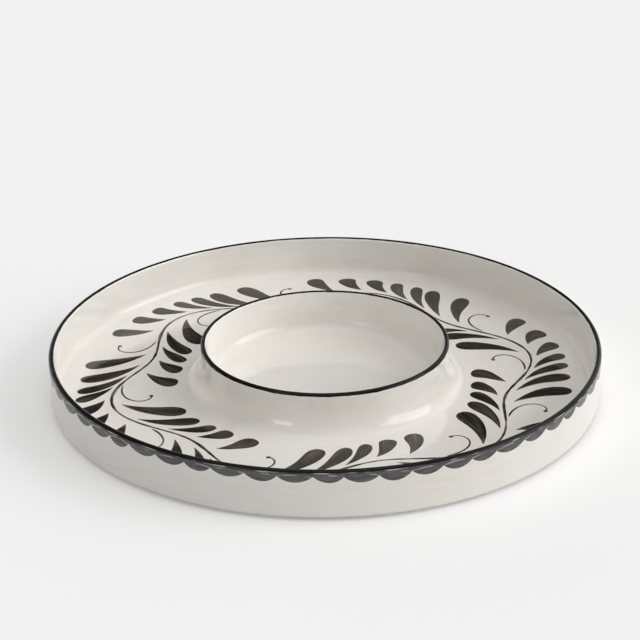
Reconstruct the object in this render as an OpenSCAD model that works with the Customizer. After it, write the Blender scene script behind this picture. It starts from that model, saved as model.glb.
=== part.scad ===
// Chip and dip server: a round footed tray with an upright wall and a dip bowl standing in its middle.
// Every clay member, glaze line and painted motif is a solid of its own. Millimetres, +Z up, with the
// origin in the middle of the face that stands on the table.

/* [Tray] */
// Outside diameter of the tray, over the paint
tray_d = 362; // [330:1:420]
// Height of the tray, from the table to the top of its painted lip
tray_h = 33.5; // [28:0.5:50]
// Thickness of the upright wall, which its lip rounds over
wall_t = 3.8; // [3:0.1:5]
// Thickness of the tray floor
floor_t = 4; // [3:0.1:5.5]
// Radius of the cove between the floor and the wall
cove_r = 6; // [3:0.5:9]
// Radius of the rounded edge under the wall
heel_r = 3; // [1.5:0.5:4]

/* [Foot] */
// Height of the foot ring that the tray stands on
foot_h = 1.2; // [0.8:0.1:3]
// Width of the foot ring's standing face
foot_w = 8; // [5:0.5:12]
// Step from the wall's outside in to the foot ring
foot_inset = 4; // [3:0.5:8]

/* [Dip bowl] */
// Outside diameter of the dip bowl's lip, over the paint
bowl_d = 164; // [140:1:180]
// Height of the dip bowl's lip above the table
bowl_h = 33.5; // [28:0.5:50]
// Thickness of the dip bowl's wall at its lip
bowl_wall_t = 3.4; // [3:0.1:4.5]
// Radius of the cove between the bowl's floor and its wall
bowl_cove_r = 9.5; // [6:0.5:12]
// How far the bowl's inside leans out between its cove and its lip
bowl_lean = 1.1; // [0.4:0.1:2]
// How far the bowl's wall flares out where it meets the tray floor
flare_w = 11; // [9:0.5:14]
// Height of that flare above the tray floor
flare_h = 17; // [12:0.5:20]
// Width of the groove under the bowl's wall, which keeps the clay even
groove_w = 12; // [8:0.5:14]
// Depth of that groove
groove_h = 6; // [3:0.5:7]

/* [Painted lines] */
// Thickness of the painted coats
paint_t = 0.2; // [0.1:0.05:0.4]
// Angle from the crown of each lip to the inner edge of its painted line
line_inside = 56; // [15:1:80]
// How far the line over the bowl's lip reaches down below the round of the lip
line_outside = 0.2; // [0.1:0.1:1.5]
// Height of the line over the tray's lip, from the lip's top down outside
rim_line_h = 4.3; // [3.5:0.1:6]
// Number of scallops that hang from that line round the wall
scallops = 58; // [40:1:70]
// Height of the scallops
scallop_h = 4.3; // [2:0.1:6]

/* [Painted vine] */
// Number of waves in the stem that runs round the floor
vine_waves = 6; // [4:1:8]
// How far the stem swings to each side of its middle line
vine_swing = 11; // [4:0.5:12]
// Width of the stem
stem_w = 2; // [0.8:0.1:2.5]
// Bare floor between the vine and the bowl's flare
vine_in_gap = 4; // [2:0.5:8]
// Bare floor between the vine and the wall's cove
vine_out_gap = 4; // [2:0.5:8]
// Leaves on the outer side of each wave
outer_leaves = 8; // [6:1:9]
// Leaves on the inner side of each wave
inner_leaves = 6; // [5:1:7]
// Reach of the longest leaves across the floor, where the stem swings furthest away from its edge
leaf_reach = 42; // [30:1:46]
// Widest leaf
leaf_w = 14; // [8:0.5:15]
// Angle by which the leaves lean from the radius
leaf_lean = 36; // [25:1:40]
// Clear length from the middle of the stem to the tip of a leaf's stalk
leaf_gap = 5; // [4:0.1:7]
// Length of each curled tendril
tendril_l = 42; // [25:1:45]
// Width of each tendril
tendril_w = 1.6; // [0.8:0.1:2]
// Clear length from the middle of the stem to the start of a tendril
tendril_gap = 2.2; // [1.5:0.1:3]

/* [Hidden] */
$fn = 180;

// how far past each cove and flare its member runs on, flat or straight, to where it meets the next one
seam = 2;
// overrun of cutting shapes past the faces that they cut
over = 1;

// levels
floor_z = foot_h + floor_t;
wall_top = tray_h - paint_t;
lip_z = wall_top - wall_t / 2;
heel_z = floor_z + cove_r + seam;
bowl_top = bowl_h - paint_t;
bowl_lip_z = bowl_top - bowl_wall_t / 2;
bowl_cove_z = floor_z + bowl_cove_r;
flare_z = floor_z + flare_h + seam;
rim_line_z = tray_h - rim_line_h;

// radii of the wall, its cove and its foot
wall_r = tray_d / 2 - paint_t;
wall_in_r = wall_r - wall_t;
lip_r = wall_r - wall_t / 2;
cove_mid_r = wall_in_r - cove_r;
floor_out_r = cove_mid_r - seam;
foot_out_r = wall_r - foot_inset;
foot_in_r = foot_out_r - foot_w;

// radii of the dip bowl
bowl_r = bowl_d / 2 - paint_t;
bowl_in_r = bowl_r - bowl_wall_t;
bowl_lip_r = bowl_r - bowl_wall_t / 2;
bowl_low_r = bowl_in_r - bowl_lean;
bowl_mid_r = bowl_low_r - bowl_cove_r;
bowl_floor_r = bowl_mid_r - seam;
flare_r = bowl_r + flare_w;
floor_in_r = flare_r + seam;
groove_mid_r = (bowl_low_r + flare_r) / 2;
flare_steps = 24;

// flat bands that each painted line is laid in over its round lip
lip_bands = 8;

// the ring of floor that the vine fills
vine_in_r = flare_r + vine_in_gap;
vine_out_r = cove_mid_r - vine_out_gap;
vine_mid_r = (vine_in_r + vine_out_r) / 2;
wave = 360 / vine_waves;
// reach of the shortest leaves, where the stem swings closest to the ring's edge
short_reach = (vine_out_r - vine_in_r) / 2 - vine_swing;

// share of the room between its neighbours that a leaf fills, its bow and its place on the stem
leaf_fill = 0.88;
leaf_bow = 0.09;
leaf_phase = 0.35;
leaf_steps = 9;
// which leaf of each wave is a curled tendril, on the outer and on the inner side
outer_curl = 4;
inner_curl = 0;
curl_steps = 14;
stem_steps = 16;
one_radian = 180 / PI;

clay_white = [0.93, 0.92, 0.89];
bare_clay = [0.80, 0.76, 0.69];
line_black = [0.09, 0.08, 0.08];
leaf_black = [0.15, 0.13, 0.11];

// a ring of rectangular section, from radius a to b and from height low to high
module ring(a, b, low, high) {
    rotate_extrude()
        translate([a, low])
            square([b - a, high - low]);
}

module tray_floor() {
    color(clay_white)
        ring(floor_in_r, floor_out_r, foot_h, floor_z);
}

// the corner of clay at the origin that a round of radius r, up and to the left of it, leaves
module round_corner(r) {
    difference() {
        translate([-r, 0])
            square([r, r]);
        translate([-r, r])
            circle(r);
    }
}

// upper half of a round lip: its middle at radius mid and height level, between the faces of a wall
module lip_section(mid, level, thickness) {
    translate([mid, level])
        intersection() {
            circle(thickness / 2);
            translate([-thickness / 2, 0])
                square([thickness, thickness]);
        }
}

module tray_heel() {
    color(clay_white)
        rotate_extrude() {
            difference() {
                translate([floor_out_r, foot_h])
                    square([wall_r - floor_out_r, floor_z - foot_h]);
                translate([wall_r, foot_h])
                    round_corner(heel_r);
            }
            translate([wall_in_r, floor_z])
                square([wall_t, heel_z - floor_z]);
            translate([wall_in_r, floor_z])
                round_corner(cove_r);
        }
}

module tray_wall() {
    color(clay_white)
        rotate_extrude() {
            translate([wall_in_r, heel_z])
                square([wall_t, lip_z - heel_z]);
            lip_section(lip_r, lip_z, wall_t);
        }
}

module foot_ring() {
    color(bare_clay)
        ring(foot_in_r, foot_out_r, 0, foot_h);
}

// outline of the bowl's flare: a quarter of an ellipse, from the wall's foot up to its upright side
function flare_points() = [
    for (k = [0 : flare_steps])
        let (a = 90 * k / flare_steps)
            [flare_r - flare_w * sin(a), floor_z + flare_h * (1 - cos(a))]
];

// radius of the bowl's leaning inside at height z, above its cove
function bowl_inside_r(z) = bowl_low_r + bowl_lean * (z - bowl_cove_z) / (bowl_lip_z - bowl_cove_z);

module groove_section() {
    translate([groove_mid_r, foot_h]) {
        intersection() {
            translate([0, groove_h - groove_w / 2])
                circle(groove_w / 2);
            translate([-groove_w, 0])
                square([2 * groove_w, groove_h]);
        }
        translate([-groove_w / 2, -over])
            square([groove_w, over + max(0, groove_h - groove_w / 2)]);
    }
}

module bowl_flare() {
    color(clay_white)
        rotate_extrude()
            difference() {
                union() {
                    polygon(concat(
                        [[bowl_low_r, floor_z]],
                        flare_points(),
                        [[bowl_r, flare_z], [bowl_inside_r(flare_z), flare_z], [bowl_low_r, bowl_cove_z]]
                    ));
                    translate([bowl_low_r, floor_z])
                        round_corner(bowl_cove_r);
                    translate([bowl_floor_r, foot_h])
                        square([floor_in_r - bowl_floor_r, floor_z - foot_h]);
                }
                groove_section();
            }
}

module bowl_wall() {
    color(clay_white)
        rotate_extrude() {
            polygon([
                [bowl_inside_r(flare_z), flare_z], [bowl_r, flare_z],
                [bowl_r, bowl_lip_z], [bowl_in_r, bowl_lip_z]
            ]);
            lip_section(bowl_lip_r, bowl_lip_z, bowl_wall_t);
        }
}

module bowl_floor() {
    color(clay_white)
        translate([0, 0, foot_h])
            cylinder(r = bowl_floor_r, h = floor_t);
}

// corners of the flat bands that touch a circle of radius r, from its outside over its top to stop
function band_points(r, stop) = [
    for (k = [0 : lip_bands - 1])
        let (a = (k + 0.5) * stop / lip_bands)
            r / cos(stop / lip_bands / 2) * [cos(a), sin(a)]
];

// section of a painted line over a round lip of radius r, from its outside to just past its crown
module line_section(lip, level, r, down_out) {
    stop = 90 + line_inside;
    edge = [cos(stop), sin(stop)];
    outer = band_points(r + paint_t, stop);
    inner = band_points(r, stop);
    translate([lip, level])
        polygon(concat(
            [[r, -down_out], [r + paint_t, -down_out]],
            outer,
            [(r + paint_t) * edge, r * edge],
            [for (k = [lip_bands - 1 : -1 : 0]) inner[k]]
        ));
}

module rim_line() {
    color(line_black)
        rotate_extrude()
            line_section(lip_r, lip_z, wall_t / 2, lip_z - rim_line_z);
}

module bowl_rim_line() {
    color(line_black)
        rotate_extrude()
            line_section(bowl_lip_r, bowl_lip_z, bowl_wall_t / 2, line_outside);
}

// the border hangs from the rim line: the lower part of a disc for each scallop, wrapped round the wall
module scallop_border() {
    turn = 360 / scallops;
    chord = 2 * wall_r * sin(turn / 2);
    arc_r = (chord * chord / 4 + scallop_h * scallop_h) / (2 * scallop_h);
    low_z = rim_line_z - scallop_h;
    color(line_black)
        for (k = [0 : scallops - 1])
            rotate([0, 0, k * turn])
                intersection() {
                    rotate([0, 0, -turn / 2])
                        rotate_extrude(angle = turn)
                            translate([wall_r, low_z])
                                square([paint_t, scallop_h]);
                    translate([wall_r - over, 0, low_z + arc_r])
                        rotate([0, 90, 0])
                            cylinder(r = arc_r, h = 2 * over + paint_t);
                }
}

// the stem's radius at angle a, how fast it grows with the angle, and the point and heading there
function stem_r(a) = vine_mid_r + vine_swing * sin(vine_waves * a);
function stem_growth(a) = vine_swing * vine_waves * cos(vine_waves * a);
function stem_heading(a) = a + atan2(stem_r(a), stem_growth(a));
function polar(r, a) = [r * cos(a), r * sin(a)];
function left_of(heading) = [-sin(heading), cos(heading)];

// closed outline round the floor that keeps a step to the left of the stem's middle
function beside_stem(step) = [
    for (k = [0 : vine_waves * stem_steps - 1])
        let (a = k * wave / stem_steps)
            polar(stem_r(a), a) + step * left_of(stem_heading(a))
];

module vine_stem() {
    color(leaf_black)
        translate([0, 0, floor_z])
            linear_extrude(paint_t)
                difference() {
                    polygon(beside_stem(-stem_w / 2));
                    polygon(beside_stem(stem_w / 2));
                }
}

// a leaf that starts beside the stem at angle a: side is 1 for the outer leaves and -1 for the inner
// ones; it reaches leaf_len over the floor, and ends at radius tip_r and angle tip_a
function leaf_len(a, side) =
    short_reach + (leaf_reach - short_reach) * (1 - side * sin(vine_waves * a)) / 2;
function tip_r(a, side) = stem_r(a) + side * leaf_len(a, side);
function tip_a(a, side) =
    a + one_radian * leaf_len(a, side) * tan(leaf_lean) / ((stem_r(a) + tip_r(a, side)) / 2);

// room across a leaf between its two neighbours, each a turn away along the stem
function leaf_room(a, side, turn) =
    (tip_a(a + turn / 2, side) - tip_a(a - turn / 2, side)) / one_radian
        * (0.35 * stem_r(a) + 0.65 * tip_r(a, side)) * cos(leaf_lean);

// half the width of a leaf at the share u of its length: a pointed stalk and a round end
function leaf_half(u, width) = 0.72 * width * pow(u, 0.95) * sqrt(max(0, 1 - pow(u, 6)));

// outline round a bowed middle line from start to end, for a list of shares of its length
function leaf_outline(start, end, bow, width, side_steps) =
    let (
        along = end - start,
        across = [-along[1], along[0]] / norm(along),
        shares = [for (k = [0 : side_steps]) sin(90 * k / side_steps)],
        mid = [for (u = shares) start + u * along + 4 * bow * u * (1 - u) * across],
        off = [
            for (u = shares)
                let (t = along + 4 * bow * (1 - 2 * u) * across)
                    leaf_half(u, width) * [-t[1], t[0]] / norm(t)
        ]
    )
        concat(
            [for (k = [0 : side_steps]) mid[k] + off[k]],
            [for (k = [side_steps - 1 : -1 : 1]) mid[k] - off[k]]
        );

module leaf(a, side, turn) {
    start = polar(stem_r(a) + side * leaf_gap, a + one_radian * leaf_gap * tan(leaf_lean) / stem_r(a));
    end = polar(tip_r(a, side), tip_a(a, side));
    width = min(leaf_w, leaf_fill * leaf_room(a, side, turn));
    bow = side * leaf_bow * norm(end - start);
    linear_extrude(paint_t)
        polygon(leaf_outline(start, end, bow, width, leaf_steps));
}

module leaf_row(side, per_wave, curl) {
    turn = wave / per_wave;
    for (k = [0 : vine_waves * per_wave - 1])
        if (k % per_wave != curl)
            leaf((k + leaf_phase) * turn, side, turn);
}

module vine_leaves() {
    color(leaf_black)
        translate([0, 0, floor_z]) {
            leaf_row(1, outer_leaves, outer_curl);
            leaf_row(-1, inner_leaves, inner_curl);
        }
}

// heading of a tendril at the share s of its length: it leaves the stem gently and curls at its end
function curl_heading(a, side, s) = stem_heading(a) - side * (12 + 70 * s + 130 * pow(s, 3));

// points of a tendril's middle line, each a short step on from the last
function curl_points(a, side) = [
    for (
        k = 0, p = polar(stem_r(a) + side * tendril_gap, a);
        k <= curl_steps;
        p = p + tendril_l / curl_steps * polar(1, curl_heading(a, side, (k + 0.5) / curl_steps)),
        k = k + 1
    )
        p
];

// half the width of a tendril: a fine start and a slow taper, before the round drop at its end
function curl_half(s) = tendril_w / 2 * min(1, 0.35 + 6 * s) * (1 - 0.2 * s);

module tendril(a, side) {
    mid = curl_points(a, side);
    off = [
        for (k = [0 : curl_steps])
            curl_half(k / curl_steps) * left_of(curl_heading(a, side, k / curl_steps))
    ];
    linear_extrude(paint_t) {
        polygon(concat(
            [for (k = [0 : curl_steps]) mid[k] + off[k]],
            [for (k = [curl_steps : -1 : 0]) mid[k] - off[k]]
        ));
        translate(mid[curl_steps])
            circle(tendril_w);
    }
}

module tendril_row(side, per_wave, curl) {
    for (k = [0 : vine_waves - 1])
        tendril((k * per_wave + curl + leaf_phase) * wave / per_wave, side);
}

module vine_tendrils() {
    color(leaf_black)
        translate([0, 0, floor_z]) {
            tendril_row(1, outer_leaves, outer_curl);
            tendril_row(-1, inner_leaves, inner_curl);
        }
}

tray_floor();
tray_heel();
tray_wall();
foot_ring();
bowl_flare();
bowl_wall();
bowl_floor();
rim_line();
bowl_rim_line();
scallop_border();
vine_stem();
vine_tendrils();
vine_leaves();
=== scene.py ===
"""Chip and dip server: a footed chip tray with an upright wall and a dip bowl standing in its middle.

Every clay member, painted line and brushed motif is a closed surface of its own, worked out from the
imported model's sizes. The clay is glazed white, its foot is left bare, and the paint is brushed on in
black and brown-black. Lengths are in metres, +Z is up, and z = 0 is the table.
"""

import math

import bmesh
import bpy
import numpy as np
from bpy.props import FloatProperty, FloatVectorProperty, IntProperty, PointerProperty
from mathutils import Matrix, Vector


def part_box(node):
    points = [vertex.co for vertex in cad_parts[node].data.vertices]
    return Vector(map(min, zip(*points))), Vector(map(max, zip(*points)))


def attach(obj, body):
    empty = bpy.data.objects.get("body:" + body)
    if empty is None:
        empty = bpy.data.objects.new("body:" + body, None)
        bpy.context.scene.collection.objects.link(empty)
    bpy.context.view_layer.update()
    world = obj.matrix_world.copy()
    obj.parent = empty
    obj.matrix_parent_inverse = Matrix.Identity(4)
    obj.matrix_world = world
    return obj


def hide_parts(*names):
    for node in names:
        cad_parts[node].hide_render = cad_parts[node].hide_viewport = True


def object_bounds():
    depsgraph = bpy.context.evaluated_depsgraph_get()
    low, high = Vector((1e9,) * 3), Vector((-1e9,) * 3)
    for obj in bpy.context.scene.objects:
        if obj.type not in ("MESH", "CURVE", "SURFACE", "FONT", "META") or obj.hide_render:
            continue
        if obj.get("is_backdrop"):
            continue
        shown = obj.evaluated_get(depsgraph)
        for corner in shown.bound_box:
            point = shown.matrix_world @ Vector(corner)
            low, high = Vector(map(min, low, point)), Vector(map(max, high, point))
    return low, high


bl_info = {
    "name": "Chip and Dip Server",
    "version": (1, 0, 0),
    "blender": (4, 5, 0),
    "location": "View3D > Sidebar > Chip and Dip",
    "description": "Makes a glazed chip tray with a dip bowl, its brushed paint and a studio round it",
    "category": "Object",
}

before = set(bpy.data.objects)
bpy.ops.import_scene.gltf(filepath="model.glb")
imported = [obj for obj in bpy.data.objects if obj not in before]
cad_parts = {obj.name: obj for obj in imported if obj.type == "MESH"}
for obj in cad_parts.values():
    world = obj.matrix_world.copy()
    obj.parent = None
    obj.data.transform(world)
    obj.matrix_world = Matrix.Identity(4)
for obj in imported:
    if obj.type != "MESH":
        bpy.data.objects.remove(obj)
CAD_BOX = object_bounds()

MM = 0.001
TURN = 2 * math.pi
ROUND_STEPS = 512
ARC_STEPS = 28
SHARP_EDGE = math.radians(32)
MERGE_DISTANCE = 2e-7

# how far a coat's edge and underside lie sunk in the glaze, and how far its middle stands above it
SINK = 0.03 * MM
LIFT = 0.05 * MM

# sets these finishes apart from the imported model's flat materials of the same names
FINISH_PREFIX = "server_"

# index of refraction of the glaze over the lip lines, where the paint dulls it
LINE_IOR = 1.22

# points across a broad and across a fine brush stroke
BROAD_POINTS = 18
FINE_POINTS = 12

# which leaf of each wave is a curled tendril, on the outer and on the inner side
OUTER_CURL = 4
INNER_CURL = 0

# seeds of what wanders as by hand. A pair is for the inner and outer edge, or the outer and inner side
TRAY_LINE_SEEDS = (1, 2)
BOWL_LINE_SEEDS = (3, 4)
STEM_SEED = 6
LEAF_SEEDS = (11, 12)
TENDRIL_SEEDS = (21, 22)
BORDER_SEED = 58

# the camera's film width in mm, and how far it sees
FILM_WIDTH = 36
SIGHT = 50

# softboxes: heading and height of the middle, half width and half height in degrees, radiance,
# and how soft the side edges and the level edges are, as shares of the half sizes
SOFTBOXES = (
    (-11, 24, 22, 20, 3.4, 0.06, 0.06),
    (36, 36, 28, 20, 1.05, 0.6, 0.6),
    (-100, 48, 44, 24, 0.43, 0.6, 0.6),
    (-127, 14, 7, 12, 3.5, 0.06, 0.06),
    (62, 8, 35, 12, 0.8, 0.3, 0.08),
    (126, 8, 35, 12, 0.8, 0.3, 0.08),
    (0, 90, 26, 26, 1.25, 0.6, 0.6),
)


def lowest(node):
    """Lowest corner of a CAD node."""
    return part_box(node)[0]


def highest(node):
    """Highest corner of a CAD node. Its x is the outside radius of a round node."""
    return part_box(node)[1]


# ---------------------------------------------------------------- settings


def length(name, default, description):
    """A length in metres for a property group."""
    return FloatProperty(
        name=name,
        description=description,
        default=default,
        min=0.0,
        precision=5,
        subtype="DISTANCE",
        unit="LENGTH",
    )


def share(name, default, description):
    """A share from 0 to 1 for a property group."""
    return FloatProperty(
        name=name, description=description, default=default, min=0.0, max=1.0, subtype="FACTOR"
    )


def angle(name, degrees, description):
    """An angle for a property group, with its default in degrees."""
    return FloatProperty(
        name=name,
        description=description,
        default=math.radians(degrees),
        subtype="ANGLE",
        unit="ROTATION",
    )


def colour(name, default, description):
    """A linear colour for a property group."""
    return FloatVectorProperty(
        name=name,
        description=description,
        default=default,
        size=3,
        min=0.0,
        max=1.0,
        subtype="COLOR",
    )


class ClaySizes(bpy.types.PropertyGroup):
    """Sizes of the clay members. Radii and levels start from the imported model."""

    wall_r: length("Wall radius", highest("tray_wall").x, "Outside radius of the tray's wall")
    wall_t: length("Wall thickness", 3.8 * MM, "Thickness of the tray's wall")
    wall_top: length("Wall top", highest("bowl_wall").z, "Level of the clay lips' tops")
    heel_z: length("Wall joint", lowest("tray_wall").z, "Level where the wall stands on its heel")
    heel_r: length("Heel round", 3 * MM, "Radius of the rounded edge under the wall")
    under_z: length("Underside", lowest("tray_floor").z, "Level of the tray's underside")
    floor_z: length("Floor", highest("tray_floor").z, "Level of the tray's floor")
    floor_out_r: length("Floor radius", highest("tray_floor").x, "Radius where the floor meets the heel")
    floor_in_r: length("Floor hole", highest("bowl_flare").x, "Radius where the floor meets the flare")
    seam: length("Seam", 2 * MM, "Flat or straight stretch between a round and the next member")
    foot_r: length("Foot radius", highest("foot_ring").x, "Outside radius of the foot ring")
    foot_w: length("Foot width", 8 * MM, "Width of the foot ring")
    foot_round: length("Foot round", 0.35 * MM, "Radius of the foot ring's lower edges")
    bowl_r: length("Bowl radius", highest("bowl_wall").x, "Outside radius of the dip bowl's wall")
    bowl_t: length("Bowl wall", 3.4 * MM, "Thickness of the dip bowl's wall at its lip")
    bowl_lean: length("Bowl lean", 1.1 * MM, "How far the bowl's inside leans out up to its lip")
    bowl_cove: length("Bowl cove", 9.5 * MM, "Radius between the bowl's floor and its wall")
    bowl_floor_r: length("Bowl floor", highest("bowl_floor").x, "Radius of the bowl's floor member")
    flare_z: length("Flare joint", lowest("bowl_wall").z, "Level where the bowl's wall meets its flare")
    groove_w: length("Groove width", 12 * MM, "Width of the groove under the bowl's wall")
    groove_h: length("Groove depth", 6 * MM, "Depth of the groove under the bowl's wall")


class PaintSizes(bpy.types.PropertyGroup):
    """Sizes of the painted lines and of the scalloped border."""

    line_inside: angle("Line inside", 56, "Angle from a lip's crown to its line's inner edge")
    line_outside: length("Line outside", 0.2 * MM, "How far the bowl's line reaches below its lip")
    line_edge: length("Line edge", 32.0 * MM, "Level where the tray's black line ends outside")
    border_z: length("Border", lowest("rim_line").z, "Level where the scallops hang from the rim line")
    border_low: length("Scallop tips", lowest("scallop_border").z, "Level of the scallops' lowest points")
    border_top: length("Scallop tops", 31.5 * MM, "Level where the scallops' brush strokes start")
    scallops: IntProperty(
        name="Scallops", description="Number of scallops round the wall", default=58, min=12
    )
    waver: length("Waver", 0.13 * MM, "How far a hand-drawn edge wanders")


class VineSizes(bpy.types.PropertyGroup):
    """Sizes of the leafy vine that is painted round the tray's floor."""

    waves: IntProperty(name="Waves", description="Waves in the stem", default=6, min=2)
    outer_leaves: IntProperty(name="Outer leaves", description="Leaves outside a wave", default=8)
    inner_leaves: IntProperty(name="Inner leaves", description="Leaves inside a wave", default=6)
    swing: length("Swing", 11 * MM, "How far the stem swings to each side")
    stem_w: length("Stem", 2 * MM, "Width of the stem")
    gap: length("Edge gap", 4 * MM, "Bare floor between the vine and the flare or the cove")
    leaf_reach: length("Leaf reach", 42 * MM, "Reach of the longest leaves across the floor")
    leaf_w: length("Leaf width", 14 * MM, "Width of the widest leaf")
    leaf_gap: length("Leaf gap", 5 * MM, "From the middle of the stem to a leaf's stalk")
    leaf_lean: angle("Leaf lean", 36, "Angle by which the leaves lean from the radius")
    leaf_fill: share("Leaf fill", 0.88, "Share of the room between its neighbours that a leaf fills")
    leaf_bow: share("Leaf bow", 0.09, "How far a leaf bows, as a share of its length")
    leaf_phase: share("Leaf phase", 0.35, "Where the first leaf starts, as a share of its step")
    tendril_l: length("Tendril", 42 * MM, "Length of each tendril")
    tendril_w: length("Tendril width", 1.6 * MM, "Width of each tendril")
    tendril_gap: length("Tendril gap", 2.2 * MM, "From the middle of the stem to a tendril's start")


class Finishes(bpy.types.PropertyGroup):
    """Colours of the glaze, the clay and the paints."""

    glaze: colour("Glaze", (0.86, 0.835, 0.79), "Warm white glaze")
    glaze_warm: colour("Thick glaze", (0.81, 0.772, 0.708), "The glaze where it lies thicker")
    clay: colour("Clay", (0.46, 0.38, 0.285), "Bare fired clay")
    line: colour("Line", (0.006, 0.0055, 0.005), "Black of the lip lines")
    wash: colour("Wash", (0.048, 0.047, 0.048), "Charcoal of the scallops")
    wash_thin: colour("Thin wash", (0.125, 0.122, 0.120), "The scallops where the brush ran dry")
    # painted highlight: the light grey of the arch along the top of each scallop dab, where the lip's
    # shoulder catches the light
    dab_highlight: colour("Light wash", (0.40, 0.39, 0.38), "Glaze that shows between two dabs")
    leaf: colour("Leaf", (0.006, 0.005, 0.004), "Brown-black of the leaves")
    leaf_thin: colour("Thin leaf", (0.105, 0.082, 0.055), "The leaves where the paint is thin")
    stem: colour("Stem", (0.026, 0.021, 0.016), "Brown-black of the stem")
    stem_thin: colour("Thin stem", (0.17, 0.15, 0.115), "The stem where the paint is thin")


class StudioSettings(bpy.types.PropertyGroup):
    """The floor, the light and the camera."""

    floor_size: length("Floor size", 9.0, "Side of the square floor")
    floor_colour: colour("Floor colour", (0.73, 0.73, 0.73), "Colour of the floor")
    floor_glow: FloatProperty(
        name="Floor glow", description="Light that the paper gives off itself", default=0.36
    )
    ambient: FloatProperty(name="Ambient", description="Light from all round", default=0.1, min=0.0)
    distance: length("Camera distance", 1.4254, "From the camera to the point that it looks at")
    elevation: angle("Camera elevation", 24.39, "How far the camera looks down")
    roll: angle("Camera roll", -0.647, "Turn of the camera about its own axis")
    lens: FloatProperty(name="Lens", description="Focal length in mm", default=112.5, subtype="NONE")
    target: FloatVectorProperty(
        name="Camera target",
        description="The point that the camera looks at",
        default=(-0.003, 0.10404, 0.0),
        size=3,
        precision=5,
        subtype="XYZ",
        unit="LENGTH",
    )


# ---------------------------------------------------------------- surfaces


def arc(centre, radius, start, stop, steps=ARC_STEPS):
    """Points of an arc in the (r, z) plane: centre + radius (cos a, sin a), a in degrees."""
    a = np.radians(np.linspace(start, stop, steps + 1))
    return np.stack([centre[0] + radius * np.cos(a), centre[1] + radius * np.sin(a)], -1)


def straight(start, stop, hold=0.2 * MM):
    """A straight stretch, with a point close to each end that keeps it flat beside a round."""
    start, stop = np.array(start, float), np.array(stop, float)
    near = min(0.25, hold / np.linalg.norm(stop - start))
    shares = np.array([0, near, 0.5, 1 - near, 1])
    return start + shares[:, None] * (stop - start)


def outline(*stretches):
    """One closed outline from its stretches, without the points that repeat where they meet."""
    points = np.concatenate(stretches)
    apart = np.linalg.norm(points - np.roll(points, 1, axis=0), axis=1) > MERGE_DISTANCE
    return points[apart]


def joined(*parts):
    """A closed outline of corners (r, z) and curves, joined in turn by straight stretches."""
    curves = [np.atleast_2d(part) for part in parts]
    after = curves[1:] + curves[:1]
    pairs = [(one, straight(one[-1], two[0])) for one, two in zip(curves, after)]
    return outline(*[stretch for pair in pairs for stretch in pair])


def revolved(section):
    """A closed section turned round the z axis: (r, z) at angle a lies at (r cos a, r sin a, z)."""
    a = np.linspace(0, TURN, ROUND_STEPS, endpoint=False)
    r, z = section[:, 0], section[:, 1]
    rings = [np.outer(r, np.cos(a)), np.outer(r, np.sin(a)), np.repeat(z[:, None], len(a), 1)]
    return np.stack(rings, -1)[None]


def quads(shape, wrap_rows, wrap_columns):
    """Corner numbers of the faces of (count, rows, columns, 3) grids, each between neighbours.

    A wrapped side joins its last points to its first.
    """
    count, rows, columns = shape[:3]
    i, j = np.meshgrid(
        np.arange(rows if wrap_rows else rows - 1),
        np.arange(columns if wrap_columns else columns - 1),
        indexing="ij",
    )
    turn = [(0, 0), (0, 1), (1, 1), (1, 0)]
    one = np.stack([(i + a) % rows * columns + (j + b) % columns for a, b in turn], -1)
    return (np.arange(count)[:, None, None, None] * rows * columns + one).reshape(-1, 4)


def waver(a, reach, seed, waves=(9, 17, 31, 53, 83)):
    """A wandering line round the tray: a sum of sines of the angle a, at most about reach high."""
    phases = np.random.default_rng(seed).uniform(0, TURN, len(waves))
    heights = np.array(waves, float) ** -0.35
    sines = np.sin(np.multiply.outer(a, waves) + phases) * heights
    return reach * sines.sum(-1) / heights.sum() * 1.6


def coat_section(points):
    """The section of a coat of paint, followed all the way round.

    Across the coat v = cos f, with f once round: over the top from 1 to -1 and back under it.
    body = 1 - v^6 is 0 at both edges. Over the top the coat rises from -SINK to LIFT with body,
    and under it it dips to twice SINK. Returns v, body and whether a point is on top.
    """
    f = np.linspace(0, TURN, points, endpoint=False)
    v = np.cos(f)
    return v, 1 - v**6, np.sin(f) > 0


def coat_height(body, on_top, end=1.0, lift=LIFT):
    """Height above the glaze of a coat whose body fades to 0 with end at its two ends."""
    full = body * end
    return np.where(on_top, -SINK + (lift + SINK) * full, -SINK * (1 + full))


def flat_strokes(middle, left, half, end, floor_z, left_share=0.0, points=BROAD_POINTS):
    """Brush strokes on the floor, as a (strokes, rows, points, 3) grid.

    A point lies at middle + (v + left_share) half left, with v across the stroke, and its height
    is the coat's. middle and left are (strokes, rows, 2), half and end are (strokes, rows).
    """
    v, body, on_top = coat_section(points)
    across = (v + left_share) * half[..., None]
    place = middle[..., None, :] + across[..., None] * left[..., None, :]
    z = floor_z + coat_height(body, on_top, end[..., None])
    return np.concatenate([place, z[..., None]], -1)


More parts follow.
